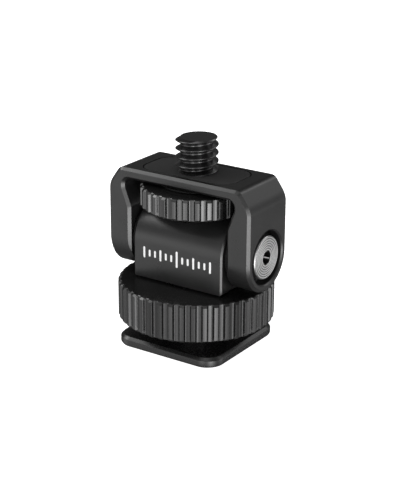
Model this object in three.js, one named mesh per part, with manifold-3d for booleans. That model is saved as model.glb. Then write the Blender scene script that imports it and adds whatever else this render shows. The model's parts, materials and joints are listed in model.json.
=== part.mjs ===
// Tilting accessory-shoe mount: a shoe foot with a knurled clamp wheel, a swivelling block, and a yoke that
// tilts on the block and carries a 1/4"-20 thumbscrew. Millimetres, +Z up, origin at the centre of the
// foot's underside, X along the tilt axis, the front facing -Y.
import * as THREE from "three";
import { mergeVertices } from "three/addons/utils/BufferGeometryUtils.js";
import Module from "manifold-3d";

const wasm = await Module();
wasm.setup();

// ---- driving dimensions ----
const FINE = 36; // segments round a large circle
const COARSE = 20; // segments round a small or hidden one
const GAP = 0.1; // between faces that bear on each other inside the stacks
const CLEAR = 0.3; // between a turning or sliding piece and what it moves in
const EDGE = 0.25; // broken edge on the turned heads
const PAST = 1; // how far a cutting tool runs past the face that it opens
const AXIS_Z = 16; // height of the tilt axis

const FOOT = { side: 18.4, thick: 1.65, corner: 2.9, bevel: 0.45 };
const CLAMP = {
  radius: 12.05, bottom: 4.25, top: 10.2, teeth: 44, phase: -0.8, bore: 5, recess: 0.7, recessRadius: 8.2,
};
const RING = { radius: 7.9, bottom: 3.85, thick: 0.9 };
const POST = { radius: 4.7, top: 9.8, flats: 8.4, pilotRadius: 2.9, pilotTop: 12.9 };
const BLOCK = { width: 16, depth: 10.6, bottom: 10.5, bevel: 0.3, boreRadius: 4.3, boreTop: 13.9 };
const HEAD_WELL = { radius: 3.45, floor: 16.3 }; // the well in the block's top for the swivel screw's head
const YOKE = {
  width: 25.4, top: 27.3, depth: 10.6, bevel: 0.42, cutX: 2, cutZ: 2.8,
  armInside: 8.7, wideInside: 9.9, reliefLow: 21.2, reliefHigh: 24.1, ceiling: 25.6, inCorner: 1.1,
};
const COUNTERBORE = { radius: 4.15, floor: 10.6, inside: 2.7 }; // in each arm, for the pivot screw
const PIVOT = {
  headRadius: 3.35, face: 12.55, under: 11.1, shoulder: 1.9, thread: 1.25, end: 4.2, socket: 2,
};
const PAD = { length: 16.2, width: 8.1, corner: 2.6, thick: 0.45, hole: 3.45 };
const THUMB = { radius: 8.55, bottom: 21.9, top: 25.2, teeth: 30, phase: 4.7, bore: 3.1 };
const STUD = {
  major: 3.175, minor: 2.45, pitch: 1.27, start: 26.74, top: 32.6, tipEdge: 0.25, socket: 3,
  neck: 2.45, neckTop: 26.8, spigot: 2.85, headRadius: 4.2, headThick: 1.1,
};
const KNURL = { depth: 0.42, crown: 0.4, floor: 0.35, bevel: 0.4 }; // crown and floor: shares of the pitch

// ---- geometry helpers ----
function solid(geometry) {
  const bare = geometry.clone();
  bare.deleteAttribute("normal");
  bare.deleteAttribute("uv");
  const merged = mergeVertices(bare, 1e-4);
  const vertProperties = merged.attributes.position.array;
  const triVerts = new Uint32Array(merged.index.array);
  return new wasm.Manifold(new wasm.Mesh({ numProp: 3, vertProperties, triVerts }));
}

function geometryOf(manifold) {
  const mesh = manifold.getMesh();
  const geometry = new THREE.BufferGeometry();
  geometry.setAttribute("position", new THREE.BufferAttribute(new Float32Array(mesh.vertProperties), 3));
  geometry.setIndex(new THREE.BufferAttribute(mesh.triVerts, 1));
  geometry.computeVertexNormals();
  return geometry;
}

function cut(base, ...tools) {
  return geometryOf(tools.reduce((body, tool) => body.subtract(solid(tool)), solid(base)));
}

function join(base, ...others) {
  return geometryOf(others.reduce((body, other) => body.add(solid(other)), solid(base)));
}

function common(base, ...others) {
  return geometryOf(others.reduce((body, other) => body.intersect(solid(other)), solid(base)));
}

// A body turned about +Z. The profile is [radius, z] pairs up the axis from bottom to top, or a closed loop.
function turned(profile, segments = COARSE) {
  const points = profile.map(([r, z]) => new THREE.Vector2(r, z));
  return new THREE.LatheGeometry(points, segments).rotateX(Math.PI / 2);
}

function cylinder(radius, bottom, top, segments = COARSE) {
  return turned([[0, bottom], [radius, bottom], [radius, top], [0, top]], segments);
}

function ring(inner, outer, bottom, top, segments = COARSE) {
  return turned([[inner, bottom], [outer, bottom], [outer, top], [inner, top], [inner, bottom]], segments);
}

// Lays a body made about +Z along the tilt axis, its +Z end pointing to +X.
function alongX(geometry) {
  return geometry.rotateY(Math.PI / 2).translate(0, 0, AXIS_Z);
}

// Two bodies laid along the tilt axis from the one made about +Z, one to each side.
function bothWays(make) {
  return [make(), make().rotateX(Math.PI)].map(alongX);
}

function prism(shape, bottom, top) {
  const options = { depth: top - bottom, bevelEnabled: false, curveSegments: 6 };
  return new THREE.ExtrudeGeometry(shape, options).translate(0, 0, bottom);
}

// A prism whose two rims have a 45 degree bevel. The shape is its outline at the middle.
function bevelled(shape, bottom, top, bevel, curveSegments = 8) {
  const rims = { bevelSize: bevel, bevelThickness: bevel, bevelOffset: -bevel, bevelSegments: 1 };
  const options = { depth: top - bottom - 2 * bevel, curveSegments, ...rims };
  return new THREE.ExtrudeGeometry(shape, options).translate(0, 0, bottom + bevel);
}

function roundedRectangle(width, height, corner) {
  const shape = new THREE.Shape();
  for (const [i, [sx, sy]] of [[1, -1], [1, 1], [-1, 1], [-1, -1]].entries()) {
    const start = (i - 1) * (Math.PI / 2);
    shape.absarc(sx * (width / 2 - corner), sy * (height / 2 - corner), corner, start, start + Math.PI / 2);
  }
  return shape;
}

function hexagon(acrossFlats) {
  const radius = acrossFlats / Math.sqrt(3);
  const corners = Array.from({ length: 6 }, (_, i) => {
    const angle = (i * Math.PI) / 3;
    return new THREE.Vector2(radius * Math.cos(angle), radius * Math.sin(angle));
  });
  return new THREE.Shape(corners);
}

// A knurled wheel about +Z: straight teeth with flat crowns, and a bevel round both rims. The first crown
// stands the phase, in degrees, away from +X.
function knurledWheel({ radius, bottom, top, teeth, phase }) {
  const pitch = (2 * Math.PI) / teeth;
  const first = THREE.MathUtils.degToRad(phase);
  const crown = (KNURL.crown * pitch) / 2;
  const floor = (KNURL.floor * pitch) / 2;
  const outline = [];
  for (let i = 0; i < teeth; i += 1) {
    const corners = [
      [radius, -crown], [radius, crown],
      [radius - KNURL.depth, pitch / 2 - floor], [radius - KNURL.depth, pitch / 2 + floor],
    ];
    for (const [r, angle] of corners) {
      const turn = first + i * pitch + angle;
      outline.push(new THREE.Vector2(r * Math.cos(turn), r * Math.sin(turn)));
    }
  }
  const rim = radius - KNURL.bevel;
  const slope = PAST + KNURL.bevel; // of the 45 degree cones that bevel the two rims
  const barrel = turned([
    [0, bottom], [rim, bottom], [rim + slope, bottom + slope],
    [rim + slope, top - slope], [rim, top], [0, top],
  ], FINE);
  return common(prism(new THREE.Shape(outline), bottom - PAST, top + PAST), barrel);
}

// A helical thread about +Z as one closed body, with ragged ends a pitch past bottom and top to cut off.
function threadBlank({ major, minor, pitch }, bottom, top, segments = 18) {
  const profile = [[minor, 0], [minor, 0.2], [major, 0.5], [major, 0.7]]; // [radius, share of the pitch]
  const turns = Math.ceil((top - bottom) / pitch) + 2;
  const rows = turns * profile.length;
  const positions = [];
  const faces = [];
  const at = (i, k) => k * segments + i; // a vertex round the turn and along the helix
  const seam = (k) => at(0, k + profile.length);
  for (let k = 0; k <= rows + profile.length; k += 1)
    for (let i = 0; i < segments; i += 1) {
      const [radius, share] = profile[k % profile.length];
      const z = bottom + pitch * (Math.floor(k / profile.length) - 2 + share + i / segments);
      const angle = (2 * Math.PI * i) / segments;
      positions.push(radius * Math.cos(angle), radius * Math.sin(angle), z);
    }
  for (let k = 0; k < rows; k += 1)
    for (let i = 0; i < segments; i += 1) {
      const [b, d] = i + 1 < segments ? [at(i + 1, k), at(i + 1, k + 1)] : [seam(k), seam(k + 1)];
      faces.push(at(i, k), b, d, at(i, k), d, at(i, k + 1));
    }
  for (const [row, flip] of [[0, false], [rows, true]]) {
    const centre = positions.length / 3;
    positions.push(0, 0, bottom + pitch * (row / profile.length - 2 + 0.5));
    const edge = [];
    for (let i = 0; i < segments; i += 1) edge.push(at(i, row));
    for (let k = profile.length; k > 0; k -= 1) edge.push(at(0, row + k));
    edge.forEach((v, i) => {
      const next = edge[(i + 1) % edge.length];
      faces.push(...(flip ? [centre, v, next] : [centre, next, v]));
    });
  }
  const geometry = new THREE.BufferGeometry();
  geometry.setAttribute("position", new THREE.Float32BufferAttribute(positions, 3));
  geometry.setIndex(faces);
  return geometry;
}

// A disc spring: a shallow cone of constant thickness, its inner rim the higher one.
function discSpring(inner, outer, bottom, rise, thick) {
  return turned([
    [inner, bottom + rise], [outer, bottom], [outer, bottom + thick], [inner, bottom + rise + thick],
    [inner, bottom + rise],
  ]);
}

// ---- shoe foot and clamp ----
const DOWEL = { radius: 0.55, at: 3.65, bottom: 0.1, top: 3.2, segments: 16 };
const FOOT_SCREW = { head: 2.6, shank: 1.35, bottom: 0.12, neck: 1.35, top: 5.8, rim: 0.2, socket: 2 };

function shoeFoot() {
  const { side, thick, corner, bevel } = FOOT;
  const outline = roundedRectangle(side, side, corner);
  const plate = bevelled(outline, -thick, thick, bevel, 6); // only its half above z = 0 is kept
  const above = new THREE.BoxGeometry(2 * side, 2 * side, 2 * side).translate(0, 0, side);
  const sink = FOOT_SCREW.head + CLEAR;
  const shank = FOOT_SCREW.shank + CLEAR;
  const countersink = turned([
    [0, -PAST], [sink, -PAST], [sink, FOOT_SCREW.bottom + FOOT_SCREW.rim],
    [shank, FOOT_SCREW.neck + GAP], [shank, thick + PAST], [0, thick + PAST],
  ]);
  const dowelHoles = [-1, 1].map((s) =>
    cylinder(DOWEL.radius + GAP, -PAST, thick + PAST, DOWEL.segments).translate(0, s * DOWEL.at, 0));
  return cut(common(plate, above), countersink, ...dowelHoles);
}

function footScrew() {
  const { head, shank, bottom, neck, top, rim, socket } = FOOT_SCREW;
  const body = turned([
    [0, bottom], [head, bottom], [head, bottom + rim], [shank, neck], [shank, top], [0, top],
  ]);
  return cut(body, prism(hexagon(socket), bottom - PAST, bottom + 1.1));
}

function footDowel() {
  return cylinder(DOWEL.radius, DOWEL.bottom, DOWEL.top, DOWEL.segments);
}

function clampPost() {
  const { radius, top, flats, pilotRadius, pilotTop } = POST;
  const bottom = FOOT.thick + GAP / 2;
  const body = turned([
    [0, bottom], [radius, bottom], [radius, top], [pilotRadius, top], [pilotRadius, pilotTop], [0, pilotTop],
  ], FINE);
  const height = top - bottom + 2 * PAST;
  const beside = [-1, 1].map((s) =>
    new THREE.BoxGeometry(radius, 3 * radius, height)
      .translate((s * (flats + radius)) / 2, 0, top - height / 2));
  const screwHole = cylinder(FOOT_SCREW.shank + GAP, bottom - PAST, FOOT_SCREW.top + CLEAR);
  const topHole = cylinder(SWIVEL_SCREW.shank + GAP, SWIVEL_SCREW.end - CLEAR, pilotTop + PAST);
  const dowelHoles = [-1, 1].map((s) =>
    cylinder(DOWEL.radius + GAP, bottom - PAST, DOWEL.top + 2 * GAP, DOWEL.segments)
      .translate(0, s * DOWEL.at, 0));
  return cut(body, ...beside, screwHole, topHole, ...dowelHoles);
}

function clampRing() {
  const { radius, bottom, thick } = RING;
  const hole = common(
    cylinder(POST.radius + CLEAR, bottom - PAST, bottom + thick + PAST, FINE),
    new THREE.BoxGeometry(POST.flats + 2 * CLEAR, 3 * POST.radius, 6 * thick).translate(0, 0, bottom),
  );
  return cut(cylinder(radius, bottom, bottom + thick, FINE), hole);
}

function clampWheel() {
  const bore = cylinder(CLAMP.bore, CLAMP.bottom - PAST, CLAMP.top + PAST, FINE);
  const recess = cylinder(CLAMP.recessRadius, CLAMP.bottom - PAST, CLAMP.bottom + CLAMP.recess, FINE);
  return cut(knurledWheel(CLAMP), bore, recess);
}

// ---- swivel stack ----
const SWIVEL_SCREW = { head: 2.9, top: 20.2, under: 17.5, shank: 1.4, end: 7.6, socket: 2.5, deep: 1.5 };
const SWIVEL_SPRING = { inner: 1.75, outer: 3.1, rise: 0.2, thick: 0.25, step: 0.4 };

function swivelWasher() {
  return ring(POST.pilotRadius + CLEAR, POST.radius - GAP, POST.top + GAP, BLOCK.bottom - GAP);
}

function swivelBush() {
  const { bottom, boreRadius, boreTop } = BLOCK;
  return ring(POST.pilotRadius + 2 * GAP, boreRadius - 2 * GAP, bottom + GAP, boreTop - CLEAR);
}

function swivelScrew() {
  const { head, top, under, shank, end, socket, deep } = SWIVEL_SCREW;
  const body = turned([
    [0, end], [shank, end], [shank, under], [head, under], [head, top - EDGE], [head - EDGE, top], [0, top],
  ]);
  return cut(body, prism(hexagon(socket), top - deep, top + PAST));
}

function swivelSpring(level) {
  const { inner, outer, rise, thick, step } = SWIVEL_SPRING;
  return discSpring(inner, outer, HEAD_WELL.floor + GAP + level * step, rise, thick);
}

// ---- tilt block ----
function tiltBlock() {
  const { width, depth, bottom, bevel } = BLOCK;
  const half = depth / 2;
  const section = new THREE.Shape(); // drawn with height along x and depth along y
  section.absarc(0, 0, half, -Math.PI / 2, Math.PI / 2);
  section.lineTo(bottom - AXIS_Z, half).lineTo(bottom - AXIS_Z, -half);
  const body = bevelled(section, -width / 2, width / 2, bevel, 16);
  body.rotateY(-Math.PI / 2).translate(0, 0, AXIS_Z);
  const well = cylinder(HEAD_WELL.radius, HEAD_WELL.floor, AXIS_Z + half + PAST, FINE);
  const shaft = cylinder(SWIVEL_SCREW.shank + CLEAR, bottom, HEAD_WELL.floor + PAST);
  const bushBore = cylinder(BLOCK.boreRadius, bottom - PAST, BLOCK.boreTop, FINE);
  const pivotHoles = bothWays(() => cylinder(PIVOT.thread + GAP, PIVOT.end - 2 * GAP, width));
  return cut(body, well, shaft, bushBore, ...pivotHoles);
}

// ---- tilt pivots, made for the +X arm and turned round for the other ----
function pivotScrew() {
  const { headRadius, face, under, shoulder, thread, end, socket } = PIVOT;
  const shoulderEnd = BLOCK.width / 2 + GAP;
  const body = turned([
    [0, end], [thread, end], [thread, shoulderEnd], [shoulder, shoulderEnd], [shoulder, under],
    [headRadius, under], [headRadius, face - EDGE], [headRadius - EDGE, face], [0, face],
  ]);
  return cut(body, prism(hexagon(socket), face - socket / 2, face + PAST));
}

function frictionWasher() {
  return ring(PIVOT.shoulder + CLEAR, 4.6, BLOCK.width / 2 + GAP, YOKE.armInside - GAP);
}

function pivotBush() {
  const inner = PIVOT.shoulder + 0.15;
  return ring(inner, inner + 0.5, YOKE.armInside + GAP / 2, COUNTERBORE.floor - GAP / 2);
}

function pivotSpring() {
  return discSpring(PIVOT.shoulder + 2 * GAP, PIVOT.headRadius, COUNTERBORE.floor + 0.07, 0.15, 0.18);
}

// ---- yoke ----
function yokeOutline() {
  const { width, top, depth, cutX, cutZ, armInside, wideInside, reliefLow, reliefHigh } = YOKE;
  const { ceiling, inCorner } = YOKE;
  const side = width / 2 + PAST; // too wide, because the arms' profile trims it
  const sideTop = top - cutZ - (PAST * cutZ) / cutX;
  const low = AXIS_Z - depth;
  const turnIn = wideInside - inCorner;
  const shape = new THREE.Shape();
  shape.moveTo(-side, low).lineTo(-armInside, low).lineTo(-armInside, reliefLow);
  shape.lineTo(-wideInside, reliefHigh).quadraticCurveTo(-wideInside, ceiling, -turnIn, ceiling);
  shape.lineTo(turnIn, ceiling).quadraticCurveTo(wideInside, ceiling, wideInside, reliefHigh);
  shape.lineTo(armInside, reliefLow).lineTo(armInside, low).lineTo(side, low).lineTo(side, sideTop);
  shape.lineTo(width / 2 - cutX, top).lineTo(-width / 2 + cutX, top).lineTo(-side, sideTop);
  return shape;
}

function yoke() {
  const { width, top, depth, bevel } = YOKE;
  const half = depth / 2;
  const above = top - AXIS_Z + 2 * PAST; // the arms' profile runs on past the top bar
  const front = bevelled(yokeOutline(), -half, half, bevel, 4).rotateX(Math.PI / 2);
  const side = new THREE.Shape(); // the arms' profile, drawn with height along x and depth along y
  side.absarc(0, 0, half, Math.PI / 2, Math.PI * 1.5).lineTo(above, -half).lineTo(above, half);
  const arms = bevelled(side, -width / 2, width / 2, bevel, 16);
  arms.rotateY(-Math.PI / 2).translate(0, 0, AXIS_Z);
  const padRoom = roundedRectangle(PAD.length + 2 * GAP, PAD.width + 2 * GAP, PAD.corner + GAP);
  const pocket = prism(padRoom, top - PAD.thick - GAP, top + PAST);
  const studHole = cylinder(STUD.major + CLEAR, YOKE.ceiling - PAST, top + PAST, FINE);
  const washerSeat = cylinder(RETAINER.radius + GAP, RETAINER.bottom - GAP, top + PAST, FINE);
  const { inside, radius, floor } = COUNTERBORE;
  const bushHoles = bothWays(() => cylinder(inside, YOKE.armInside - 2 * PAST, floor + PAST));
  const counterbores = bothWays(() => cylinder(radius, floor, width, FINE));
  return cut(common(front, arms), pocket, studHole, washerSeat, ...bushHoles, ...counterbores);
}

// ---- top pad, thumbscrew ----
const RETAINER = { radius: 3.9, bottom: 26.15, top: 26.6 };

function topPad() {
  const plate = prism(roundedRectangle(PAD.length, PAD.width, PAD.corner), YOKE.top - PAD.thick, YOKE.top);
  return cut(plate, cylinder(PAD.hole, YOKE.top - 2 * PAST, YOKE.top + PAST, FINE));
}

function studRetainingWasher() {
  return ring(STUD.neck + 2 * GAP, RETAINER.radius, RETAINER.bottom, RETAINER.top);
}

function thumbWasher() {
  return ring(STUD.spigot + CLEAR, 5.4, THUMB.top + GAP, YOKE.ceiling - GAP);
}

function thumbWheel() {
  const bore = cylinder(THUMB.bore, THUMB.bottom - PAST, THUMB.top + PAST, FINE);
  const seatTop = THUMB.bottom + STUD.headThick + 2 * GAP;
  const headSeat = cylinder(STUD.headRadius + 0.15, THUMB.bottom - PAST, seatTop, FINE);
  return cut(knurledWheel(THUMB), bore, headSeat);
}

function thumbStud() {
  const { major, neck, neckTop, spigot, start, top, tipEdge, headRadius, headThick, socket } = STUD;
  const lap = 0.5; // the length over which the thread's neck and the shank run into each other
  const envelope = turned([
    [0, neckTop - lap], [neck, neckTop - lap], [neck, neckTop], [major, neckTop + major - neck],
    [major, top - tipEdge], [major - tipEdge, top], [0, top],
  ], FINE);
  const thread = common(threadBlank(STUD, start, top), envelope);
  const head = THUMB.bottom + GAP / 2;
  const headTop = head + headThick;
  const shank = turned([
    [0, head], [headRadius, head], [headRadius, headTop], [spigot, headTop],
    [spigot, THUMB.top + GAP], [neck, THUMB.top + lap], [neck, neckTop - lap / 2], [0, neckTop - lap / 2],
  ]);
  return cut(join(thread, shank), prism(hexagon(socket), head - PAST, head + socket / 3));
}

// ---- finishes ----
const finish = (color, roughness, metalness) => ({ color, roughness, metalness });
const BLACK = finish(0x232325, 0.45, 0.6);
const DARK_STEEL = finish(0x1b1b1d, 0.38, 0.8);
const STEEL = finish(0xa9aaac, 0.35, 1);
const RUBBER = finish(0x161617, 0.8, 0);
const NYLON = finish(0x2a2a2c, 0.6, 0);
const BRONZE = finish(0xa47a45, 0.4, 1);

const model = new THREE.Group();

function add(name, geometry, look) {
  const mesh = new THREE.Mesh(geometry, new THREE.MeshStandardMaterial(look));
  mesh.name = name;
  model.add(mesh);
  return mesh;
}

add("shoe_foot", shoeFoot(), DARK_STEEL);
add("foot_screw", footScrew(), DARK_STEEL);
add("foot_dowel_front", footDowel(), STEEL).position.y = -DOWEL.at;
add("foot_dowel_rear", footDowel(), STEEL).position.y = DOWEL.at;
add("clamp_post", clampPost(), DARK_STEEL);
add("clamp_ring", clampRing(), DARK_STEEL);
add("clamp_wheel", clampWheel(), BLACK);

add("swivel_washer", swivelWasher(), NYLON);
add("swivel_bush", swivelBush(), BRONZE);
add("swivel_spring_lower", swivelSpring(0), STEEL);
add("swivel_spring_upper", swivelSpring(1), STEEL);
add("swivel_screw", swivelScrew(), DARK_STEEL);

add("tilt_block", tiltBlock(), BLACK);
const pivotPieces = [
  ["pivot_screw", pivotScrew, STEEL],
  ["pivot_spring", pivotSpring, STEEL],
  ["pivot_bush", pivotBush, BRONZE],
  ["friction_washer", frictionWasher, NYLON],
];
for (const [name, make, look] of pivotPieces) {
  add(name + "_right", alongX(make()), look);
  add(name + "_left", alongX(make().rotateX(Math.PI)), look);
}

add("yoke", yoke(), BLACK);
add("top_pad", topPad(), RUBBER);
add("stud_retaining_washer", studRetainingWasher(), NYLON);
add("thumb_washer", thumbWasher(), NYLON);
add("thumb_wheel", thumbWheel(), BLACK);
add("thumb_stud", thumbStud(), DARK_STEEL);

export default model;
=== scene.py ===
"""The looks of a small tilting accessory-shoe mount: black anodised aluminium, steel and rubber.

Pieces are built in millimetres in the CAD model's own frame, and scaled to metres once they are finished."""

import json
import math

import bmesh
import bpy
from mathutils import Matrix, Vector


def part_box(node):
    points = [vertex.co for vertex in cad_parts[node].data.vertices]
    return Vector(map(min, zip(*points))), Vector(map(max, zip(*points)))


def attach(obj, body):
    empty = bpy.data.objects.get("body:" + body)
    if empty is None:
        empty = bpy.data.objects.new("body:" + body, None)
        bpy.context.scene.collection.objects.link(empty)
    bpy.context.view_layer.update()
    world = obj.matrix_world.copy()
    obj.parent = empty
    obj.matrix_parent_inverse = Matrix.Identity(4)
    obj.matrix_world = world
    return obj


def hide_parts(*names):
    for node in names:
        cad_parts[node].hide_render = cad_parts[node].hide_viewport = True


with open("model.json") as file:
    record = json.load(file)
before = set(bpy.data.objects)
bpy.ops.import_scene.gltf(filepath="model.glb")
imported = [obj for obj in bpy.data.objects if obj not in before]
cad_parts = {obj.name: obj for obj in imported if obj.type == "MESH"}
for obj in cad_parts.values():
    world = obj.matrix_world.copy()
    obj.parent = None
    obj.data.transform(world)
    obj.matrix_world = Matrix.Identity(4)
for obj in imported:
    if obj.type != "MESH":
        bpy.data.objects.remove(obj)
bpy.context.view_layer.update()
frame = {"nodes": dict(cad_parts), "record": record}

MM = 0.001
ROUND = 96  # segments round a visible circle
SMALL_ROUND = 48  # segments round a small hole
HALF_TURN_STEPS = 72  # segments round the half-round ends of the yoke's arms and the block
ARC_STEP = math.radians(7)  # the longest step along a fillet
LEAST_MITRE = 0.3  # keeps an inset outline from running away at sharp corners
SMOOTH_ANGLE = math.radians(32)  # edges flatter than this are shaded smooth
SAME_PLACE = 0.0005  # vertices nearer than this, in millimetres, are one
PAST = 1.0  # how far a cutting tool reaches past the face that it cuts
SLOTS = {row["node"]: row["material_slot"] for row in frame["record"]["subparts"]}


# ---- sizes from the frame ----
def box_mm(node):
    """Lowest and highest corner of a CAD node, in millimetres."""
    low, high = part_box(node)
    return low / MM, high / MM


YOKE_LOW, YOKE_HIGH = box_mm("yoke")
PAD_LOW, PAD_HIGH = box_mm("top_pad")
BLOCK_LOW, BLOCK_HIGH = box_mm("tilt_block")
SCREW_LOW, SCREW_HIGH = box_mm("pivot_screw_right")
AXIS_Z = (SCREW_LOW.z + SCREW_HIGH.z) / 2  # height of the tilt axis


# ---- outlines ----
def polar(radius, angle):
    return Vector((radius * math.cos(angle), radius * math.sin(angle)))


def filleted(corners, closed=True):
    """Points along an outline of (x, y, radius) corners, with an arc at each corner that has a radius."""
    points = []
    for i, (x, y, radius) in enumerate(corners):
        here = Vector((x, y))
        at_end = not closed and i in (0, len(corners) - 1)
        if radius == 0 or at_end:
            points.append(here)
            continue
        before = (Vector(corners[i - 1][:2]) - here).normalized()
        after = (Vector(corners[(i + 1) % len(corners)][:2]) - here).normalized()
        half = before.angle(after) / 2
        centre = here + (before + after).normalized() * (radius / math.sin(half))
        start = here + before * (radius / math.tan(half)) - centre
        turn = math.pi - 2 * half
        steps = max(2, math.ceil(turn / ARC_STEP))
        if before.cross(after) > 0:
            turn = -turn
        for k in range(steps + 1):
            angle = turn * k / steps
            c, s = math.cos(angle), math.sin(angle)
            points.append(centre + Vector((start.x * c - start.y * s, start.x * s + start.y * c)))
    return points


def inset(outline, distance):
    """The closed outline moved towards its inside. It runs anticlockwise."""
    moved = []
    for i, here in enumerate(outline):
        before = (here - outline[i - 1]).normalized()
        after = (outline[(i + 1) % len(outline)] - here).normalized()
        normal = Vector((-before.y - after.y, before.x + after.x)).normalized()
        mitre = max(LEAST_MITRE, normal.dot(Vector((-after.y, after.x))))
        moved.append(here + normal * (distance / mitre))
    return moved


def rounded_rectangle(width, height, corner):
    w, h = width / 2, height / 2
    return filleted([(-w, -h, corner), (w, -h, corner), (w, h, corner), (-w, h, corner)])


def hexagon(across_flats, turn=0.0):
    return [polar(across_flats / math.sqrt(3), turn + i * math.pi / 3) for i in range(6)]


def half_round(top, half_depth):
    """An outline with a half-round end about the tilt axis, drawn with height along x and depth along y."""
    turns = [math.pi / 2 + math.pi * k / HALF_TURN_STEPS for k in range(HALF_TURN_STEPS + 1)]
    arc = [polar(half_depth, angle) for angle in turns]
    return [*arc, Vector((top, -half_depth)), Vector((top, half_depth))]


# ---- bodies ----
def body_of(name, vertices, faces):
    """A new object in millimetres, its faces turned outwards."""
    mesh = bpy.data.meshes.new(name)
    mesh.from_pydata([tuple(v) for v in vertices], [], faces)
    obj = bpy.data.objects.new(name, mesh)
    bpy.context.scene.collection.objects.link(obj)
    shape = bmesh.new()
    shape.from_mesh(mesh)
    bmesh.ops.recalc_face_normals(shape, faces=shape.faces)
    shape.to_mesh(mesh)
    shape.free()
    return obj


def loft(name, rings, closed=False):
    """A body through rings of equal length. Its two ends are capped, or joined to each other."""
    count = len(rings[0])
    vertices = [point for ring in rings for point in ring]
    faces = []
    for k in range(len(rings) if closed else len(rings) - 1):
        a, b = k * count, (k + 1) % len(rings) * count
        faces += [(a + i, a + (i + 1) % count, b + (i + 1) % count, b + i) for i in range(count)]
    if not closed:
        faces.append(tuple(reversed(range(count))))
        faces.append(tuple(range(len(vertices) - count, len(vertices))))
    return body_of(name, vertices, faces)


def prism(name, outline, levels):
    """A body with one outline at all heights. Levels are (z, how far the outline is inset there)."""
    return loft(name, [[(p.x, p.y, z) for p in inset(outline, by)] for z, by in levels])


def chamfered(name, outline, half_depth, chamfer):
    """A prism from -half_depth to half_depth, with chamfered ends."""
    straight = half_depth - chamfer
    levels = [(-half_depth, chamfer), (-straight, 0), (straight, 0), (half_depth, chamfer)]
    return prism(name, outline, levels)


def turned(name, profile, segments=ROUND):
    """A body turned about +Z. Its (radius, z, fillet) corners are a loop, or a line from axis to axis."""
    solid = profile[0][0] == 0
    points = [p for p in filleted(profile, closed=not solid) if p.x > 0]
    turns = [i * 2 * math.pi / segments for i in range(segments)]
    return loft(name, [[(*polar(p.x, a), p.y) for a in turns] for p in points], closed=not solid)


def cylinder(name, radius, low, high, segments=ROUND):
    return turned(name, [(0, low, 0), (radius, low, 0), (radius, high, 0), (0, high, 0)], segments)


def transformed(obj, matrix):
    obj.data.transform(matrix)
    return obj


def along_x(obj, side):
    """Lays a body made about +Z along the tilt axis, its +Z end pointing to +X or -X."""
    turn = Matrix.Rotation(side * math.pi / 2, 4, "Y")
    return transformed(obj, Matrix.Translation((0, 0, AXIS_Z)) @ turn)


def bake(obj):
    """Applies the object's modifiers to its mesh."""
    graph = bpy.context.evaluated_depsgraph_get()
    shown = obj.evaluated_get(graph)
    mesh = bpy.data.meshes.new_from_object(shown, preserve_all_data_layers=True, depsgraph=graph)
    old, obj.data = obj.data, mesh
    obj.modifiers.clear()
    bpy.data.meshes.remove(old)
    return obj


def boolean(obj, tools, operation="DIFFERENCE"):
    for tool in tools:
        step = obj.modifiers.new("boolean", "BOOLEAN")
        step.operation = operation
        step.solver = "EXACT"
        step.object = tool
    bake(obj)
    for tool in tools:
        bpy.data.objects.remove(tool)
    return obj


def soften(obj, width, angle=26):
    """Breaks the edges sharper than an angle in degrees with a small fillet."""
    step = obj.modifiers.new("bevel", "BEVEL")
    step.width = width
    step.segments = 2
    step.limit_method = "ANGLE"
    step.angle_limit = math.radians(angle)
    step.miter_outer = "MITER_ARC"
    return bake(obj)


def cleaned(obj):
    """Merges vertices that lie on each other and dissolves faces without area."""
    shape = bmesh.new()
    shape.from_mesh(obj.data)
    bmesh.ops.remove_doubles(shape, verts=shape.verts, dist=SAME_PLACE)
    bmesh.ops.dissolve_degenerate(shape, edges=shape.edges, dist=SAME_PLACE)
    shape.to_mesh(obj.data)
    shape.free()


def finished(obj, body, material, *nodes, slot=None):
    """Shades a piece, scales it to metres, and hangs it on its body in place of its CAD nodes."""
    cleaned(obj)
    obj.data.shade_smooth()
    obj.data.set_sharp_from_angle(angle=SMOOTH_ANGLE)
    normals = obj.modifiers.new("normals", "WEIGHTED_NORMAL")
    normals.keep_sharp = True
    bake(obj)  # before the scaling, as faces of under a square millimetre have no weight in metres
    obj.data.transform(Matrix.Scale(MM, 4))
    obj.data.materials.clear()
    obj.data.materials.append(material)
    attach(obj, body)
    if nodes:
        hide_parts(*nodes)
    return obj


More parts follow.
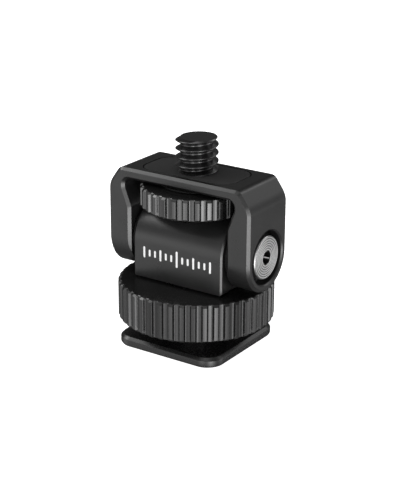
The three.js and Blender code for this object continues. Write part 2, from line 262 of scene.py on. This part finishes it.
# ---- materials ----
class Shader:
    """A Principled material with short calls for its texture nodes."""

    def __init__(self, name, color, roughness, metallic=0.0, **sockets):
        self.material = bpy.data.materials.new(name)
        self.material.use_nodes = True
        self.tree = self.material.node_tree
        self.principled = self.tree.nodes["Principled BSDF"]
        self.set("Base Color", (*color, 1))
        self.set("Roughness", roughness)
        self.set("Metallic", metallic)
        for socket, value in sockets.items():
            self.set(socket.replace("_", " "), value)
        self.place = self.tree.nodes.new("ShaderNodeTexCoord").outputs["Object"]

    def set(self, socket, value):
        self.principled.inputs[socket].default_value = value

    def link(self, output, target):
        self.tree.links.new(output, target)

    def noise(self, grain_mm, detail=3.0, roughness=0.55, stretch=None):
        """Noise whose features are about grain_mm across, or shorter along each axis by its stretch."""
        node = self.tree.nodes.new("ShaderNodeTexNoise")
        node.inputs["Scale"].default_value = 1 / (grain_mm * MM)
        node.inputs["Detail"].default_value = detail
        node.inputs["Roughness"].default_value = roughness
        source = self.place
        if stretch:
            mapping = self.tree.nodes.new("ShaderNodeMapping")
            mapping.inputs["Scale"].default_value = stretch
            self.link(self.place, mapping.inputs["Vector"])
            source = mapping.outputs["Vector"]
        self.link(source, node.inputs["Vector"])
        return node.outputs["Fac"]

    def ramp(self, factor, low, high, start=0.3, end=0.7):
        """The factor from start to end, turned into a value from low to high."""
        node = self.tree.nodes.new("ShaderNodeMapRange")
        for socket, value in (("From Min", start), ("From Max", end), ("To Min", low), ("To Max", high)):
            node.inputs[socket].default_value = value
        self.link(factor, node.inputs["Value"])
        return node.outputs["Result"]

    def tint(self, factor, dark, light):
        """Base colour between two, by the factor."""
        node = self.tree.nodes.new("ShaderNodeMix")
        node.data_type = "RGBA"
        node.inputs["A"].default_value = (*dark, 1)
        node.inputs["B"].default_value = (*light, 1)
        self.link(factor, node.inputs["Factor"])
        self.link(node.outputs["Result"], self.principled.inputs["Base Color"])

    def roughen(self, roughness):
        self.link(roughness, self.principled.inputs["Roughness"])

    def bump(self, height, depth_mm):
        node = self.tree.nodes.new("ShaderNodeBump")
        node.inputs["Distance"].default_value = depth_mm * MM
        node.inputs["Strength"].default_value = 1.0
        self.link(height, node.inputs["Height"])
        self.link(node.outputs["Normal"], self.principled.inputs["Normal"])


def grey(level):
    return (level, level, level)


def anodised(name, level, roughness, specular=0.5):
    """Bead-blasted, anodised aluminium: a fine even grain, and faint cloudiness in the dye."""
    shader = Shader(name, grey(level), roughness, Specular_IOR_Level=specular)
    cloud = shader.noise(4.0, detail=2)
    shader.tint(shader.ramp(cloud, 0, 1), grey(level * 0.88), grey(level * 1.12))
    shader.roughen(shader.ramp(cloud, roughness - 0.03, roughness + 0.03))
    shader.bump(shader.noise(0.07), 0.003)
    return shader.material


def machined(name, level, roughness, metallic=0.0, specular=0.5):
    """Metal or plastic with fine tool marks that run round +Z."""
    shader = Shader(name, grey(level), roughness, metallic, Specular_IOR_Level=specular)
    marks = shader.noise(0.5, detail=4, stretch=(1, 1, 12))
    shader.tint(shader.ramp(marks, 0, 1), grey(level * 0.85), grey(level * 1.15))
    shader.roughen(shader.ramp(marks, roughness - 0.05, roughness + 0.06))
    shader.bump(marks, 0.002)
    return shader.material


def rubber(name, level):
    """Matt rubber with a fine speckle."""
    shader = Shader(name, grey(level), 0.62)
    speckle = shader.noise(0.09, detail=4, roughness=0.7)
    shader.tint(shader.ramp(speckle, 0, 1), grey(level * 0.8), grey(level * 1.25))
    shader.bump(speckle, 0.006)
    return shader.material


def faced_steel(name, level, ring_pitch):
    """Steel faced on a lathe: fine rings round the tilt axis."""
    shader = Shader(name, grey(level), 0.32, 1.0)
    split = shader.tree.nodes.new("ShaderNodeSeparateXYZ")
    shader.link(shader.place, split.inputs["Vector"])
    across = shader.tree.nodes.new("ShaderNodeCombineXYZ")
    for source, target, centre in (("Y", "X", 0.0), ("Z", "Y", AXIS_Z * MM)):
        centred = shader.tree.nodes.new("ShaderNodeMath")
        centred.operation = "SUBTRACT"
        centred.inputs[1].default_value = centre
        shader.link(split.outputs[source], centred.inputs[0])
        shader.link(centred.outputs["Value"], across.inputs[target])
    wave = shader.tree.nodes.new("ShaderNodeTexWave")
    wave.wave_type = "RINGS"
    wave.rings_direction = "Z"
    # at a scale of 1 the rings are pi / 10 apart
    wave.inputs["Scale"].default_value = math.pi / 10 / (ring_pitch * MM)
    wave.inputs["Distortion"].default_value = 0.0
    shader.link(across.outputs["Vector"], wave.inputs["Vector"])
    rings = wave.outputs["Fac"]
    shader.roughen(shader.ramp(rings, 0.24, 0.42, 0, 1))
    shader.tint(shader.ramp(rings, 0, 1, 0, 1), grey(level * 0.72), grey(level * 1.22))
    shader.bump(rings, 0.016)
    return shader.material


BLACK = anodised("black_anodised", 0.008, 0.3)
BLACK_CLAMP = anodised("black_anodised_clamp", 0.007, 0.22, specular=0.38)
BLACK_WHEEL = anodised("black_anodised_wheel", 0.007, 0.21, specular=0.58)
DARK_STEEL = machined("dark_steel", 0.008, 0.26, specular=0.44)
STUD_STEEL = machined("stud_steel", 0.004, 0.19, specular=0.72)
BARE_STEEL = machined("bare_steel", 0.5, 0.3, metallic=1.0)
FACED_STEEL = faced_steel("faced_steel", 0.48, ring_pitch=0.36)
# a far darker steel for the faces deep in the pivot screws' hex sockets: painted shade that stands for the
# shade inside each socket
SOCKET_PAINTED_SHADE = machined("socket_painted_shade", 0.08, 0.4, metallic=1.0)
RUBBER = rubber("rubber", 0.0145)
NYLON = machined("nylon", 0.006, 0.8, specular=0.15)
BRONZE = Shader("bronze", (0.4, 0.25, 0.12), 0.4, metallic=1.0).material
WHITE_INK = Shader("white_ink", grey(0.62), 0.6).material


# ---- yoke ----
YOKE_CHAMFER = 0.42
YOKE_FILLET = 0.07  # on every sharp edge
CUT_X, CUT_Z = 2.0, 2.8  # the cut upper corners
TOP_ROUNDING, SIDE_ROUNDING = 1.3, 3.0  # radii of the edges above and below each cut corner
ARM_INSIDE, WIDE_INSIDE = 8.7, 9.85  # half widths of the window, low down and up under the top bar
WAIST_LOW, WAIST_HIGH, CEILING = 21.2, 24.1, 25.6  # heights of the window's corners
WAIST_LOW_ROUNDING, WAIST_HIGH_ROUNDING, CEILING_ROUNDING = 1.6, 1.3, 1.0
EXCESS = 2  # how far the front profile reaches below the yoke, and the arms' own profile above it
SKIN = 0.001  # keeps the arms' profile clear of the front profile's sides
BUSH_HOLE, BUSH_HOLE_START = 2.7, 5.0  # the start lies between the arms
COUNTERBORE, COUNTERBORE_FLOOR, COUNTERBORE_FILLET, RIM_CHAMFER = 4.15, 10.6, 0.15, 0.22
PAD_GROOVE, UNDER_PAD = 0.17, 0.1  # gaps between the pad and its pocket's walls and floor
STUD_HOLE = 3.5
WASHER_GAP = 0.1  # round and under the stud's retaining washer


def mirrored(corners):
    return [(-x, z, radius) for x, z, radius in corners]


def yoke_front_outline():
    """The yoke's front profile, anticlockwise. Its arms are too long, as their own profile trims them."""
    half, top, low = YOKE_HIGH.x, YOKE_HIGH.z, YOKE_LOW.z - EXCESS
    side = half - SKIN
    outside = [(side, low, 0), (side, top - CUT_Z, SIDE_ROUNDING), (half - CUT_X, top, TOP_ROUNDING)]
    window = [(ARM_INSIDE, low, 0), (ARM_INSIDE, WAIST_LOW, WAIST_LOW_ROUNDING),
              (WIDE_INSIDE, WAIST_HIGH, WAIST_HIGH_ROUNDING), (WIDE_INSIDE, CEILING, CEILING_ROUNDING)]
    return filleted(outside + mirrored(outside[::-1]) + mirrored(window) + window[::-1])


def yoke():
    face, half_depth = YOKE_HIGH.x, YOKE_HIGH.y
    shell = chamfered("yoke_shell", yoke_front_outline(), half_depth, YOKE_CHAMFER)
    transformed(shell, Matrix.Rotation(math.pi / 2, 4, "X"))
    arms = chamfered("arms", half_round(YOKE_HIGH.z + EXCESS - AXIS_Z, half_depth), face, YOKE_CHAMFER)
    boolean(shell, [along_x(arms, -1)], "INTERSECT")
    bore = [(0, BUSH_HOLE_START, 0), (BUSH_HOLE, BUSH_HOLE_START, 0), (BUSH_HOLE, COUNTERBORE_FLOOR, 0),
            (COUNTERBORE, COUNTERBORE_FLOOR, COUNTERBORE_FILLET), (COUNTERBORE, face - RIM_CHAMFER, 0),
            (COUNTERBORE + RIM_CHAMFER + PAST, face + PAST, 0), (0, face + PAST, 0)]
    tools = [along_x(turned("bore", bore), side) for side in (-1, 1)]
    pocket = inset(pad_outline(), -PAD_GROOVE)
    tools.append(prism("pocket", pocket, [(PAD_LOW.z - UNDER_PAD, 0), (PAD_HIGH.z + PAST, 0)]))
    washer_low, washer_high = box_mm("stud_retaining_washer")
    seat, seat_floor = washer_high.x + WASHER_GAP, washer_low.z - WASHER_GAP
    low, above = CEILING - PAST, YOKE_HIGH.z + PAST
    tools.append(turned("stud_hole", [(0, low, 0), (STUD_HOLE, low, 0), (STUD_HOLE, seat_floor, 0),
                                      (seat, seat_floor, 0), (seat, above, 0), (0, above, 0)]))
    boolean(shell, tools)
    soften(shell, YOKE_FILLET)
    finished(shell, "yoke", BLACK, "yoke")


# ---- pad ----
PAD_CORNER = 2.6
PAD_HOLE = 2.65
PAD_BEVEL = 0.05  # of the lower rim
PAD_RIM = [(0.08, 0), (0.02, 0.03), (0, 0.09)]  # the rounded upper rim: (below the face, inset)


def pad_outline():
    return rounded_rectangle(PAD_HIGH.x - PAD_LOW.x, PAD_HIGH.y - PAD_LOW.y, PAD_CORNER)


def top_pad():
    levels = [(PAD_LOW.z, PAD_BEVEL), (PAD_LOW.z + PAD_BEVEL, 0)]
    levels += [(PAD_HIGH.z - below, by) for below, by in PAD_RIM]
    pad = prism("pad", pad_outline(), levels)
    boolean(pad, [cylinder("hole", PAD_HOLE, PAD_LOW.z - PAST, PAD_HIGH.z + PAST)])
    finished(pad, "yoke", RUBBER, "top_pad")


# ---- block ----
BLOCK_CHAMFER = 0.24
BLOCK_FILLET = 0.05
WELL, WELL_FLOOR, WELL_FILLET = 3.45, 16.3, 0.15  # the well for the swivel screw's head and springs
SWIVEL_SCREW_HOLE = 1.7
BUSH_BORE, BUSH_BORE_TOP = 4.3, 13.9
PIVOT_HOLE, PIVOT_HOLE_END = 1.35, 4.0  # its end is measured from the middle of the block


def block():
    section = half_round(AXIS_Z - BLOCK_LOW.z, BLOCK_HIGH.y)
    body = chamfered("block_shell", section, BLOCK_HIGH.x, BLOCK_CHAMFER)
    along_x(body, 1)  # which turns the round end up
    low, above = BUSH_BORE_TOP - PAST, BLOCK_HIGH.z + PAST
    well = turned("well", [(0, low, 0), (SWIVEL_SCREW_HOLE, low, 0), (SWIVEL_SCREW_HOLE, WELL_FLOOR, 0),
                           (WELL, WELL_FLOOR, WELL_FILLET), (WELL, above, 0), (0, above, 0)])
    tools = [well, cylinder("bush_bore", BUSH_BORE, BLOCK_LOW.z - PAST, BUSH_BORE_TOP)]
    for side in (-1, 1):
        hole = cylinder("pivot_bore", PIVOT_HOLE, PIVOT_HOLE_END, BLOCK_HIGH.x + PAST, SMALL_ROUND)
        tools.append(along_x(hole, side))
    boolean(body, tools)
    soften(body, BLOCK_FILLET)
    finished(body, "swivel_head", BLACK, "tilt_block")


TICKS, TICK_PITCH, TICK_WIDTH, TICK_CORNER = 13, 1.0, 0.34, 0.16
TICK_LENGTHS = (2.6, 1.8, 1.1)  # of the middle tick, of every third tick from it, and of the others
TICKS_Z = 14.6  # height of the middle of the row
INK = 0.012  # thickness


def index_marks():
    """A printed tilt index on the block's front: a row of plain ticks."""
    vertices, faces = [], []
    for i in range(-(TICKS // 2), TICKS // 2 + 1):
        length = TICK_LENGTHS[0 if i == 0 else 1 if i % 3 == 0 else 2]
        outline = rounded_rectangle(TICK_WIDTH, length, TICK_CORNER)
        count, back = len(outline), len(vertices)
        front = back + count
        for y in (BLOCK_LOW.y, BLOCK_LOW.y - INK):
            vertices += [(i * TICK_PITCH + p.x, y, TICKS_Z + p.y) for p in outline]
        for k in range(count):
            after = (k + 1) % count
            faces.append((back + k, back + after, front + after, front + k))
        faces += [tuple(range(back, front)), tuple(reversed(range(front, front + count)))]
    finished(body_of("index_marks", vertices, faces), "swivel_head", WHITE_INK, slot="nylon")


# ---- knurled wheels ----
KNURL_DEPTH = 0.46
# from the middle of a tooth's crown to the middle of the groove: (share of the pitch, share of the depth)
HALF_TOOTH = [(0, 0), (0.16, 0.005), (0.175, 0.03), (0.19, 0.11), (0.27, 0.78), (0.285, 0.86),
              (0.31, 0.925), (0.345, 0.965), (0.39, 0.985), (0.44, 0.996), (0.5, 1)]
# the bevelled rim: (distance from the wheel's face, inset)
RIM = [(0, 0.37), (0.015, 0.33), (0.05, 0.29), (0.1, 0.24), (0.17, 0.17), (0.29, 0.05), (0.33, 0.015),
       (0.37, 0)]
GROOVE_BEVEL = 0.1  # at both ends of each groove's floor
RECESS_CHAMFER = 0.1


def knurled_wheel(name, node, teeth, phase, bore, bore_chamfer, recess, recess_top):
    """A wheel with straight teeth and bevelled rims, its first crown the phase, in degrees, away from +X.

    Its bore is chamfered at the top and widens to a recess at the bottom."""
    low, high = box_mm(node)
    tooth = [(-share, depth) for share, depth in HALF_TOOTH[-2:0:-1]] + HALF_TOOTH
    outline = [(math.radians(phase) + (i + share) * 2 * math.pi / teeth, high.x - KNURL_DEPTH * depth)
               for i in range(teeth) for share, depth in tooth]
    rings = []
    for face, inwards, rim in ((low.z, 1, RIM), (high.z, -1, RIM[::-1])):
        for distance, by in rim:
            bevel = max(0, GROOVE_BEVEL - distance)
            z = face + inwards * distance
            rings.append([(*polar(min(radius - bevel, high.x - by), a), z) for a, radius in outline])
    inside = [(bore + bore_chamfer, high.z), (bore, high.z - bore_chamfer), (bore, recess_top),
              (recess, recess_top), (recess, low.z + RECESS_CHAMFER), (recess + RECESS_CHAMFER, low.z)]
    rings += [[(*polar(radius, a), z) for a, _ in outline] for radius, z in inside]
    return loft(name, rings, closed=True)


CLAMP_TEETH, CLAMP_PHASE = 44, -0.8
POST_BORE, POST_BORE_CHAMFER = 5.0, 0.3
BESIDE_RING, OVER_RING = 0.3, 0.2  # gaps between the clamp ring and the recess it lies in


def clamp_wheel():
    _, ring = box_mm("clamp_ring")
    wheel = knurled_wheel("clamp_wheel_body", "clamp_wheel", CLAMP_TEETH, CLAMP_PHASE, POST_BORE,
                          POST_BORE_CHAMFER, ring.x + BESIDE_RING, ring.z + OVER_RING)
    finished(wheel, "clamp_wheel", BLACK_CLAMP, "clamp_wheel")


THUMB_TEETH, THUMB_PHASE = 30, 4.7
SHANK_BORE, SHANK_BORE_CHAMFER = 3.1, 0.15
HEAD_RECESS, HEAD_RECESS_DEPTH = 4.35, 1.3


def thumb_wheel():
    low, _ = box_mm("thumb_wheel")
    wheel = knurled_wheel("thumb_wheel_body", "thumb_wheel", THUMB_TEETH, THUMB_PHASE, SHANK_BORE,
                          SHANK_BORE_CHAMFER, HEAD_RECESS, low.z + HEAD_RECESS_DEPTH)
    finished(wheel, "thumbscrew", BLACK_WHEEL, "thumb_wheel")


# ---- thumbscrew's stud ----
PITCH = 1.27
MAJOR, MINOR, NECK, SHANK = 3.26, 2.48, 2.45, 2.85  # radii of crests, roots, neck below the thread, and shank
TIP, TIP_CHAMFER, TIP_FILLET = 3.0, 0.25, 0.05  # the flat end's radius, and the slope and fillet round it
THREAD_START = 26.74  # a height at which the thread's profile starts on the +X side
THREAD_SEGMENTS = 72
# one pitch of the thread: (share of the pitch, share of the depth, from the root)
THREAD = [(0, 0.06), (0.05, 0.01), (0.1, 0), (0.15, 0.01), (0.2, 0.06), (0.53, 0.93), (0.56, 0.985),
          (0.585, 1), (0.615, 1), (0.64, 0.985), (0.67, 0.93)]
OVER_PAD = 0.05  # from the pad to the thread's lower end
HEAD_HEIGHT, HEAD_SOCKET, HEAD_SOCKET_DEPTH = 1.1, 3.0, 1.0
SHANK_END, NECK_START = 0.1, 0.5  # heights above the wheel of the slope from the shank to the neck
NECK_END, NECK_OVERLAP, NECK_STEP = 0.3, 0.2, 0.02  # how the neck joins the threaded part, below the thread
LOW_HEAD_FILLET, HIGH_HEAD_FILLET, INNER_FILLET, SHANK_FILLET = 0.15, 0.1, 0.05, 0.1
ROUND_THREAD = 0.01  # from the crests to the envelope that trims the thread
CLEAR_ROUND = ROUND + 4  # segments of a circle whose corners keep clear of the thread's


def thread_blank(name, top):
    """The stud's right-handed thread, its ragged ends a pitch beyond its start and top, to be cut off."""
    profile = [(share, MINOR + (MAJOR - MINOR) * rise) for share, rise in THREAD]
    size, segments = len(profile), THREAD_SEGMENTS
    rows = (math.ceil((top - THREAD_START) / PITCH) + 3) * size
    vertices = []
    for k in range(rows + size + 1):
        share, radius = profile[k % size]
        for i in range(segments):
            z = THREAD_START + PITCH * (k // size - 2 + share + i / segments)
            vertices.append((*polar(radius, 2 * math.pi * i / segments), z))
    faces = []
    for k in range(rows):
        for i in range(segments):
            a, d = k * segments + i, (k + 1) * segments + i
            if i + 1 < segments:
                b, c = a + 1, d + 1
            else:
                b, c = (k + size) * segments, (k + 1 + size) * segments
            faces.append((a, b, c, d))
    for row, way in ((0, -1), (rows, 1)):
        centre = len(vertices)
        vertices.append((0, 0, THREAD_START + PITCH * (row / size - 2 + 0.5)))
        edge = [row * segments + i for i in range(segments)]
        edge += [(row + k) * segments for k in range(size, 0, -1)]
        faces += [(centre, v, edge[(i + 1) % len(edge)])[::way] for i, v in enumerate(edge)]
    return body_of(name, vertices, faces)


def thumb_stud():
    low, high = box_mm("thumb_stud")
    _, wheel_high = box_mm("thumb_wheel")
    neck_top = PAD_HIGH.z + OVER_PAD
    outside, bottom = MAJOR + ROUND_THREAD, neck_top - NECK_END - NECK_OVERLAP
    envelope = turned("envelope", [
        (0, bottom, 0), (NECK, bottom, 0), (NECK, neck_top, 0), (outside, neck_top, 0),
        (outside, high.z - TIP_CHAMFER, 0), (TIP, high.z, TIP_FILLET), (0, high.z, 0)], CLEAR_ROUND)
    stud = boolean(thread_blank("stud", high.z), [envelope], "INTERSECT")
    head_top, neck, top = low.z + HEAD_HEIGHT, NECK - NECK_STEP, neck_top - NECK_END
    shank = turned("shank", [
        (0, low.z, 0), (high.x, low.z, LOW_HEAD_FILLET), (high.x, head_top, HIGH_HEAD_FILLET),
        (SHANK, head_top, INNER_FILLET), (SHANK, wheel_high.z + SHANK_END, SHANK_FILLET),
        (neck, wheel_high.z + NECK_START, 0), (neck, top, 0), (0, top, 0)], CLEAR_ROUND)
    boolean(stud, [shank], "UNION")
    socket = prism("socket", hexagon(HEAD_SOCKET), [(low.z - PAST, 0), (low.z + HEAD_SOCKET_DEPTH, 0)])
    boolean(stud, [socket])
    finished(stud, "thumbscrew", STUD_STEEL, "thumb_stud")


# ---- foot ----
FOOT_CORNER = 2.9
FOOT_CHAMFER = 0.45  # of the upper rim
FOOT_UNDERSIDE = [(0, 0.45), (0.12, 0.18), (0.25, 0.07), (0.42, 0)]  # the rounded lower rim: (height, inset)
FOOT_FILLET = 0.06
FOOT_SCREW_HOLE = 1.65
SINK_GAP = 0.25  # round the screw's head
SINK_LIP, SINK_END = 0.3, 1.45  # heights where the cone starts and ends
DOWEL_HOLE, DOWEL_SEGMENTS = 0.6, 32


def shoe_foot():
    low, high = box_mm("shoe_foot")
    side, above = high.x - low.x, high.z + PAST
    levels = [*FOOT_UNDERSIDE, (high.z - FOOT_CHAMFER, 0), (high.z, FOOT_CHAMFER)]
    foot = prism("foot_plate", rounded_rectangle(side, side, FOOT_CORNER), levels)
    _, screw_high = box_mm("foot_screw")
    sink = screw_high.x + SINK_GAP
    tools = [turned("sink", [(0, -PAST, 0), (sink, -PAST, 0), (sink, SINK_LIP, 0),
                             (FOOT_SCREW_HOLE, SINK_END, 0), (FOOT_SCREW_HOLE, above, 0), (0, above, 0)])]
    for node in ("foot_dowel_front", "foot_dowel_rear"):
        dowel_low, dowel_high = box_mm(node)
        hole = cylinder("dowel_hole", DOWEL_HOLE, -PAST, above, DOWEL_SEGMENTS)
        tools.append(transformed(hole, Matrix.Translation((0, (dowel_low.y + dowel_high.y) / 2, 0))))
    boolean(foot, tools)
    soften(foot, FOOT_FILLET)
    finished(foot, "foot", DARK_STEEL, "shoe_foot")


# ---- pivot screws ----
SCREW_THREAD, SCREW_SHOULDER = 1.25, 1.9  # radii
SCREW_SEAT = 11.1  # where the head starts, from the middle of the mount
PAST_BLOCK = 0.1  # from the block's side to the shoulder's end
TIP_EDGE, SHOULDER_EDGE, HEAD_EDGE, FACE_EDGE = 0.2, 0.1, 0.1, 0.22  # fillets of the screw's profile
SCREW_FILLET, SCREW_FILLET_ANGLE = 0.04, 30
SOCKET, SOCKET_DEPTH = 2.0, 1.8
SOCKET_TURN = math.radians(-21.4)  # of both sockets, and of the web across each
WEB_WIDTH, WEB_LENGTH, WEB_CORNER, WEB_SUNK, WEB_ROOT = 0.16, 1.95, 0.02, 0.15, 0.1
# the reach and depths below pick out the socket faces that get the painted shade
SOCKET_REACH = 1.2  # radius round the axis that holds the whole socket
SOCKET_FROM, SOCKET_TO = 0.16, 2.0  # depths under the head's face between which a face belongs to the socket


def pivot_screw(word, side):
    head, face, shoulder_end = (SCREW_HIGH.z - SCREW_LOW.z) / 2, SCREW_HIGH.x, BLOCK_HIGH.x + PAST_BLOCK
    screw = turned("pivot_bolt_" + word, [
        (0, SCREW_LOW.x, 0), (SCREW_THREAD, SCREW_LOW.x, TIP_EDGE), (SCREW_THREAD, shoulder_end, 0),
        (SCREW_SHOULDER, shoulder_end, SHOULDER_EDGE), (SCREW_SHOULDER, SCREW_SEAT, 0),
        (head, SCREW_SEAT, HEAD_EDGE), (head, face, FACE_EDGE), (0, face, 0)])
    socket = prism("socket", hexagon(SOCKET, SOCKET_TURN), [(face - SOCKET_DEPTH, 0), (face + PAST, 0)])
    boolean(screw, [socket])
    soften(screw, SCREW_FILLET, SCREW_FILLET_ANGLE)
    web = prism("web", rounded_rectangle(WEB_WIDTH, WEB_LENGTH, WEB_CORNER),
                [(face - SOCKET_DEPTH - WEB_ROOT, 0), (face - WEB_SUNK, 0)])
    boolean(screw, [transformed(web, Matrix.Rotation(SOCKET_TURN, 4, "Z"))], "UNION")
    along_x(screw, side)
    finished(screw, "swivel_head", FACED_STEEL, "pivot_screw_" + word)
    # painted shade: the walls and floor deep in the hex socket get the dark steel, so the recess looks shaded
    screw.data.materials.append(SOCKET_PAINTED_SHADE)
    for polygon in screw.data.polygons:
        place = polygon.center / MM
        near_axis = math.hypot(place.y, place.z - AXIS_Z) < SOCKET_REACH
        polygon.material_index = int(near_axis and SOCKET_FROM < face - abs(place.x) < SOCKET_TO)


# ---- plain rings ----
RING_FILLET = 0.08


def ring_profile(inner, outer, low, high):
    fillet = min(RING_FILLET, (high - low) / 3)
    return [(inner, low, fillet), (outer, low, fillet), (outer, high, fillet), (inner, high, fillet)]


def lying_ring(node, inner, body, material):
    """A ring about the tilt axis, in place of a CAD node."""
    low, high = box_mm(node)
    ring = turned(node + "_fine", ring_profile(inner, (high.z - low.z) / 2, low.x, high.x))
    finished(along_x(ring, 1), body, material, node)


def standing_ring(node, inner, body, material):
    """A ring about +Z, in place of a CAD node."""
    low, high = box_mm(node)
    ring = turned(node + "_fine", ring_profile(inner, high.x, low.z, high.z))
    finished(ring, body, material, node)


def plain_rings():
    for word in ("right", "left"):
        lying_ring("friction_washer_" + word, 2.2, "swivel_head", NYLON)
        lying_ring("pivot_bush_" + word, 2.05, "yoke", BRONZE)
    standing_ring("swivel_washer", 3.2, "foot", NYLON)
    standing_ring("swivel_bush", 3.1, "swivel_head", BRONZE)
    standing_ring("stud_retaining_washer", 2.65, "yoke", NYLON)
    standing_ring("thumb_washer", 3.2, "yoke", NYLON)


# ---- CAD nodes ----
def carried_over():
    """Gives every CAD node a material. The pieces made later hide the nodes that they replace."""
    looks = {"dark_steel": DARK_STEEL, "bare_steel": BARE_STEEL, "spring_steel": BARE_STEEL, "nylon": NYLON,
             "bronze": BRONZE, "black_anodised": BLACK, "rubber": RUBBER}
    for node, obj in frame["nodes"].items():
        obj.data.materials.clear()
        obj.data.materials.append(looks[SLOTS[node]])


# ---- camera, floor and lights ----
# angles in degrees, lengths in millimetres
CAMERA = {"azimuth": 33.95, "elevation": 20.49, "roll": 0.31, "distance": 211.5, "aim": (0.44, 0.29, 14.55),
          "lens": 99.6}


def direction(azimuth, elevation):
    """The unit vector from the object to a place at this azimuth, from the front, and elevation."""
    a, e = math.radians(azimuth), math.radians(elevation)
    return Vector((math.sin(a) * math.cos(e), -math.cos(a) * math.cos(e), math.sin(e)))


def camera():
    data = bpy.data.cameras.new("camera")
    data.lens = CAMERA["lens"]
    data.clip_start, data.clip_end = 0.01, 20
    obj = bpy.data.objects.new("camera", data)
    bpy.context.scene.collection.objects.link(obj)
    back = direction(CAMERA["azimuth"], CAMERA["elevation"])
    right = Vector((-back.y, back.x, 0)).normalized()
    up = back.cross(right)
    turn = Matrix.Rotation(math.radians(CAMERA["roll"]), 4, back)
    axes = Matrix((right, up, back)).transposed().to_4x4()
    place = (Vector(CAMERA["aim"]) + back * CAMERA["distance"]) * MM
    obj.matrix_world = Matrix.Translation(place) @ turn @ axes
    bpy.context.scene.camera = obj


# soft lights round the object: (azimuth, elevation, sharpness, strength), low ones standing for a lit table
LIGHTS = [
    (-72, 41, 40, 8.0),
    (5, 75, 16, 1.8),
    (161, 35, 100, 2.5),
    (138, 30, 16, 1.35),
    (121, -12, 40, 4.6),
    (143, -20, 60, 0.16),
    (55, -17, 40, 10.5),
    (52, 10, 60, 4.5),
    (78, -21, 40, 2.0),
    (28, -20, 60, 0.8),
    (3, -13, 40, 5.2),
    (6, 5, 90, 9.0),
    (-16, -20, 60, 1.2),
    (-37, 0, 40, 2.0),
    (-37, 27, 30, 0.35),
    (-60, -21, 16, 1.3),
    (-32, -22, 30, 0.25),
    (36, -9, 6, 0.9),
    (30, 25, 4, 0.25),
    (150, -75, 4, 0.14),
]
AMBIENT = 0.1
COVE_RADIUS = 1.0  # in metres
COVE_SEGMENTS, COVE_RINGS = 48, 24
COVE_DROP = 0.02  # how far the floor lies under the foot, in millimetres


def studio_light():
    """A world of soft lights that fall off as exp(sharpness * (cosine of the angle from the middle - 1))."""
    world = bpy.data.worlds.new("studio")
    world.use_nodes = True
    tree = world.node_tree
    view = tree.nodes.new("ShaderNodeTexCoord").outputs["Generated"]

    def math_node(operation, first, second=None):
        node = tree.nodes.new("ShaderNodeMath")
        node.operation = operation
        for socket, value in zip(node.inputs, (first, second)):
            if isinstance(value, bpy.types.NodeSocket):
                tree.links.new(value, socket)
            elif value is not None:
                socket.default_value = value
        return node.outputs["Value"]

    total = AMBIENT
    for azimuth, elevation, sharpness, strength in LIGHTS:
        cosine = tree.nodes.new("ShaderNodeVectorMath")
        cosine.operation = "DOT_PRODUCT"
        tree.links.new(view, cosine.inputs[0])
        cosine.inputs[1].default_value = direction(azimuth, elevation)
        falloff = math_node("MULTIPLY", math_node("SUBTRACT", cosine.outputs["Value"], 1), sharpness)
        total = math_node("ADD", math_node("MULTIPLY", math_node("EXPONENT", falloff), strength), total)
    background = tree.nodes["Background"]
    background.inputs["Color"].default_value = (1, 1, 1, 1)
    tree.links.new(total, background.inputs["Strength"])
    bpy.context.scene.world = world


def white_cove():
    """A white floor and dome that only the camera sees, so they leave the light round the object as it is."""
    shape = bmesh.new()
    bmesh.ops.create_uvsphere(shape, u_segments=COVE_SEGMENTS, v_segments=COVE_RINGS, radius=COVE_RADIUS)
    everything = [*shape.verts, *shape.edges, *shape.faces]
    bmesh.ops.bisect_plane(shape, geom=everything, plane_co=(0, 0, 0), plane_no=(0, 0, 1), clear_inner=True)
    bmesh.ops.edgeloop_fill(shape, edges=[edge for edge in shape.edges if edge.is_boundary])
    mesh = bpy.data.meshes.new("cove")
    shape.to_mesh(mesh)
    shape.free()
    obj = bpy.data.objects.new("cove", mesh)
    obj.location.z = -COVE_DROP * MM
    bpy.context.scene.collection.objects.link(obj)
    shader = Shader("cove", grey(0.8), 0.9, Emission_Color=(1, 1, 1, 1), Emission_Strength=1.0)
    mesh.materials.append(shader.material)
    for ray in ("diffuse", "glossy", "transmission", "shadow"):
        setattr(obj, "visible_" + ray, False)


camera()
carried_over()
yoke()
top_pad()
block()
index_marks()
clamp_wheel()
thumb_wheel()
thumb_stud()
shoe_foot()
pivot_screw("right", 1)
pivot_screw("left", -1)
plain_rings()
studio_light()
white_cove()
bpy.context.scene.view_settings.view_transform = "Standard"
